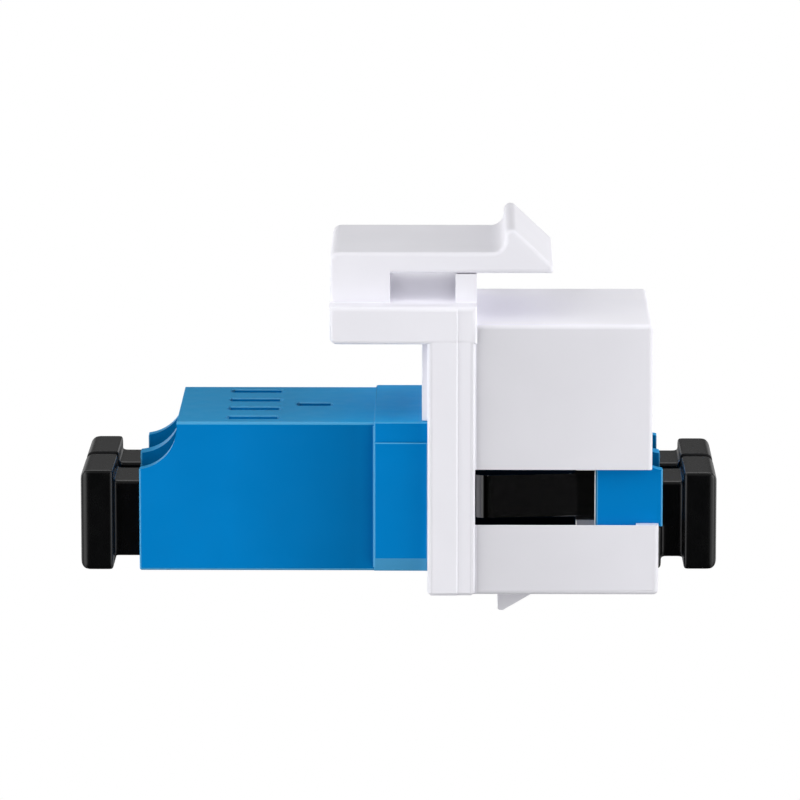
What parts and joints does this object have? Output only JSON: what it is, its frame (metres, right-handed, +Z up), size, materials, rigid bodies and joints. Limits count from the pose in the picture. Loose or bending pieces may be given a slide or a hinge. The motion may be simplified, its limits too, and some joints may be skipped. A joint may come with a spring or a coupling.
{
  "type": "keystone fibre coupler",
  "caption": "Duplex fibre adapter snapped into a keystone shell with a spring latch, with a pull-out dust cap in each port.",
  "frame": {"origin": "on the plane where the panel seats, midway between the two fibre axes", "axes": "+X along the fibres, out through the panel's front; +Y across the two ports; +Z up, towards the spring latch"},
  "size_m": [0.0387, 0.0154, 0.0236],
  "materials": {
    "shell_plastic": "satin white moulding",
    "housing_plastic": "satin blue moulding",
    "clip_steel": "bright rolled spring steel",
    "sleeve_ceramic": "polished white ceramic",
    "cap_plastic": "satin black moulding"
  },
  "bodies": {
    "coupler": {"keystone_shell": "shell_plastic", "adapter_housing": "housing_plastic", "retaining_clip": "clip_steel", "sleeve_retainer_near": "housing_plastic", "sleeve_retainer_far": "housing_plastic", "split_sleeve_near": "sleeve_ceramic", "split_sleeve_far": "sleeve_ceramic"},
    "rear_near_cap": {"dust_cap_rear_near": "cap_plastic"},
    "rear_far_cap": {"dust_cap_rear_far": "cap_plastic"},
    "front_near_cap": {"dust_cap_front_near": "cap_plastic"},
    "front_far_cap": {"dust_cap_front_far": "cap_plastic"}
  },
  "joints": [
    {"name": "rear_near_cap_pull", "type": "slide", "parent": "coupler", "child": "rear_near_cap", "axis": [-1, 0, 0], "range_m": [0, 0.01]},
    {"name": "rear_far_cap_pull", "type": "slide", "parent": "coupler", "child": "rear_far_cap", "axis": [-1, 0, 0], "range_m": [0, 0.01]},
    {"name": "front_near_cap_pull", "type": "slide", "parent": "coupler", "child": "front_near_cap", "axis": [1, 0, 0], "range_m": [0, 0.01]},
    {"name": "front_far_cap_pull", "type": "slide", "parent": "coupler", "child": "front_far_cap", "axis": [1, 0, 0], "range_m": [0, 0.01]}
  ]
}
